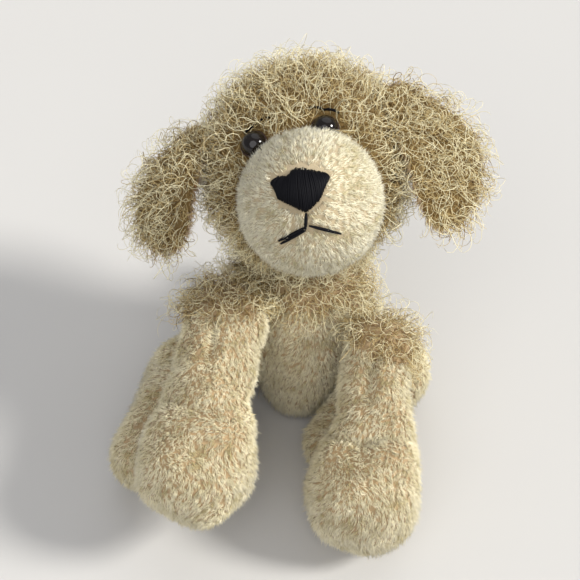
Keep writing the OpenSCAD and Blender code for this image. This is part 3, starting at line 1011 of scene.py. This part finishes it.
def creased(skin, word):
    """Sinks the folds into a front leg: across the ankle, along the top and behind the elbow."""
    start, end, axis = leg_axis("front", word)
    co, no = coordinates(skin.data), vertex_normals(skin.data)
    a = np.array(axis)
    inward = np.array((-SIGN[word], 0.0, 0.0))
    inward = inward - a * (inward @ a)
    inward /= np.linalg.norm(inward)
    up = np.cross(a, inward)
    up *= np.sign(up[2])
    rel = co - np.array(start)
    t = rel @ a / MM
    x, y = rel @ inward / MM, rel @ up / MM
    length = (end - start).length / MM
    facing_up = np.clip(no @ up * 1.4, 0, 1)
    ankle = length * 0.66 + 1.8 * np.sin(x * 0.18 + (0.6 if word == "left" else 2.0))
    fold = np.exp(-((t - ankle) / 2.2) ** 2) * (2.4 if word == "left" else 1.2)
    swell = (np.exp(-((t - ankle - 8) / 7) ** 2) * 1.2
             + np.exp(-((t - ankle + 8) / 6) ** 2) * 0.6)
    middle = 1.5 * np.sin(t * 0.10) + (1.0 if word == "left" else -3.0)
    groove = (np.exp(-((x - middle) / 2.4) ** 2)
              * np.exp(-((t - length * 0.22) / (length * 0.2)) ** 2) * 3.0)
    elbow = np.exp(-((t - length * 0.52) / 7) ** 2) * np.clip(no @ inward, 0, 1) ** 1.5 * 3.4
    lumps = 0.7 * waves(co, 17 * MM, 31 + SIGN[word])
    move = (swell - fold - groove) * facing_up - elbow * 0.7 + lumps
    moved_points(skin, np.maximum(co + no * move[:, None] * MM, (-9, -9, CREASE_FLOOR)))


def filled(skin, word):
    """The fibre inside a front leg, just under its creased skin and short of the pellets in the paw."""
    start, end, axis = leg_axis("front", word)
    mesh = skin.data.copy()
    core = bpy.data.objects.new(f"front_leg_filling_{word}", mesh)
    bpy.context.collection.objects.link(core)
    new_name(core, f"front_leg_filling_{word}")
    co = coordinates(mesh) - vertex_normals(mesh) * 1.6 * MM
    a = np.array(axis)
    stop = (end - start).length * 0.74
    past = np.maximum((co - np.array(start)) @ a - stop, 0)
    moved_points(core, co - a * past[:, None])
    apply_modifier(core, "REMESH", mode="VOXEL", voxel_size=2.2 * MM)
    dressed(core, fibre_finish(), "stuffing_fibre", f"front_leg_{word}")
    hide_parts(f"front_leg_stuffing_{word}")


class PUPPY_OT_legs(bpy.types.Operator):
    """Four floppy legs with short pile that lies towards the paws"""
    bl_idname = "puppy.legs"
    bl_label = "Legs"

    def execute(self, context):
        for n, (kind, word) in enumerate((k, w) for k in ("front", "hind") for w in SIGN):
            body = f"{kind}_leg_{word}"
            skin = skin_over(f"{body}_skin", [f"{kind}_leg_top_{word}", f"{kind}_leg_under_{word}",
                                              f"{kind}_leg_stuffing_{word}", f"{kind}_paw_pellets_{word}"])
            if kind == "front":
                creased(skin, word)
                filled(skin, word)
            dressed(skin, plush_skin_finish(), "short_plush", body)
            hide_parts(f"{kind}_leg_top_{word}", f"{kind}_leg_under_{word}")
            start, end, axis = leg_axis(kind, word)
            a, c = np.array(axis), np.array(end)

            def flow(p, a=a, c=c):
                return a + (p - c) * 14
            shoulder = np.array(start + SHOULDER_PULL[word])
            reach = SHOULDER_CURLS[word] if kind == "front" else 0.0

            def tufted(p, n, c=shoulder, r=reach):
                return np.linalg.norm(p - c, axis=1) < r + 1.6 * MM * waves(p, 14 * MM, 7)
            plush_coat(f"{body}_plush", skin, flow, 161 + 20 * n, plush_tones(), "short_plush", body,
                       keep=lambda p, n, f=tufted: ~f(p, n))
            if kind == "front":
                curly_coat(f"{body}_curls", skin, flow, 401 + 10 * n, curl_tones(), "curly_pile", body,
                           keep=tufted)
        return {"FINISHED"}


class PUPPY_OT_tail(bpy.types.Operator):
    """Short curly tail"""
    bl_idname = "puppy.tail"
    bl_label = "Tail"

    def execute(self, context):
        skin = skin_over("tail_skin", ["tail_cover", "tail_stuffing"], voxel=1.6 * MM, swell=0.5 * MM)
        dressed(skin, curl_skin_finish(), "curly_pile", "tail")
        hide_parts("tail_cover")
        curly_coat("tail_curls", skin, towards((0, 0.6, 0.5)), 261, curl_tones(), "curly_pile", "tail",
                   reach=0.8)
        return {"FINISHED"}


class PUPPY_OT_fillings(bpy.types.Operator):
    """Finishes of the fibre, pellets and washers inside"""
    bl_idname = "puppy.fillings"
    bl_label = "Fillings"

    def execute(self, context):
        beads = Finish("pellets", Roughness=0.35)
        cells = beads.node("ShaderNodeTexVoronoi", {}, {"Vector": beads.place(), "Scale": 330.0})
        # painted shade: each pellet is pale in its middle and darker towards the gaps between pellets
        beads.feed("Base Color", beads.blend(cells, (0.85, 0.83, 0.78), (0.45, 0.42, 0.36)))
        beads.bump(1 - cells, 0.9, 1.2 * MM)
        disc = Finish("washer_plastic", Roughness=0.3)
        rings = disc.noise(600.0)
        disc.feed("Base Color", disc.blend(rings, (0.55, 0.53, 0.5), (0.75, 0.73, 0.7)))
        for name, node in frame["nodes"].items():
            chosen = (fibre_finish() if "stuffing" in name else beads.material if "pellets" in name
                      else disc.material if "washer" in name else None)
            if chosen:
                for place in node.material_slots:
                    place.material = chosen
        return {"FINISHED"}


class PUPPY_OT_studio(bpy.types.Operator):
    """Pale floor, soft lights and the camera"""
    bl_idname = "puppy.studio"
    bl_label = "Studio"

    def execute(self, context):
        s = context.scene.puppy_studio
        bpy.ops.object.select_all(action="DESELECT")
        bpy.ops.mesh.primitive_plane_add(size=30, location=(0, 0, FLOOR_LEVEL))
        floor = new_name(context.object, "studio_floor")
        paper = Finish("floor_paper", Roughness=0.8)
        soft = paper.noise(3.0)
        paper.feed("Base Color", paper.blend(soft, (0.56, 0.55, 0.53), (0.60, 0.59, 0.57)))
        floor.data.materials.append(paper.material)
        target = NECK + Vector((-5.1, -20.6, -13.8)) * MM
        for name, place, spread, strength, colour in (
                ("key_light", (0.95, -0.12, 0.75), 14, 3.5, (1, 0.98, 0.94)),
                ("fill_light", (-0.15, -0.70, 0.72), 60, 1.35, (0.98, 0.98, 1.0)),
                ("top_light", (0.15, 0.45, 0.75), 60, 0.55, (1, 1, 1))):
            lamp = bpy.data.lights.new(name, "SUN")
            lamp.angle, lamp.energy, lamp.color = math.radians(spread), strength, colour
            holder = bpy.data.objects.new(name, lamp)
            context.collection.objects.link(holder)
            holder.location = place
            holder.rotation_euler = (target - Vector(place)).to_track_quat("-Z", "Y").to_euler()
        context.scene.view_settings.view_transform = "Standard"
        world = context.scene.world or bpy.data.worlds.new("studio_world")
        context.scene.world = world
        world.use_nodes = True
        back = next(n for n in world.node_tree.nodes if n.type == "BACKGROUND")
        back.inputs["Color"].default_value = (0.95, 0.96, 1.0, 1)
        back.inputs["Strength"].default_value = 0.34
        camera = bpy.data.objects.new("studio_camera", bpy.data.cameras.new("studio_camera"))
        context.collection.objects.link(camera)
        camera.data.lens = s.lens
        camera.data.clip_start = 0.01
        away = Vector((0, -math.cos(s.elevation), math.sin(s.elevation)))
        camera.location = target + away * s.distance
        camera.rotation_euler = (-away).to_track_quat("-Z", "Y").to_euler()
        context.scene.camera = camera
        return {"FINISHED"}


PIECES = (PUPPY_OT_head, PUPPY_OT_muzzle, PUPPY_OT_nose, PUPPY_OT_mouth, PUPPY_OT_eyes, PUPPY_OT_ears,
          PUPPY_OT_torso, PUPPY_OT_neck, PUPPY_OT_legs, PUPPY_OT_tail, PUPPY_OT_fillings, PUPPY_OT_studio)


class PUPPY_PT_panel(bpy.types.Panel):
    """Buttons for every part of the puppy"""
    bl_idname = "PUPPY_PT_panel"
    bl_label = "Plush puppy"
    bl_space_type = "VIEW_3D"
    bl_region_type = "UI"
    bl_category = "Puppy"

    def draw(self, context):
        for piece in PIECES:
            self.layout.operator(piece.bl_idname)


CLASSES = (PuppyPile, PuppyColours, PuppyStudio, *PIECES, PUPPY_PT_panel)


def register():
    for c in CLASSES:
        bpy.utils.register_class(c)
    bpy.types.Scene.puppy_pile = bpy.props.PointerProperty(type=PuppyPile)
    bpy.types.Scene.puppy_colours = bpy.props.PointerProperty(type=PuppyColours)
    bpy.types.Scene.puppy_studio = bpy.props.PointerProperty(type=PuppyStudio)


def unregister():
    del bpy.types.Scene.puppy_studio, bpy.types.Scene.puppy_colours, bpy.types.Scene.puppy_pile
    for c in reversed(CLASSES):
        bpy.utils.unregister_class(c)


def main():
    register()
    for piece in PIECES:
        group, name = piece.bl_idname.split(".")
        getattr(getattr(bpy.ops, group), name)()
    bpy.context.view_layer.update()


if __name__ == "__main__":
    main()
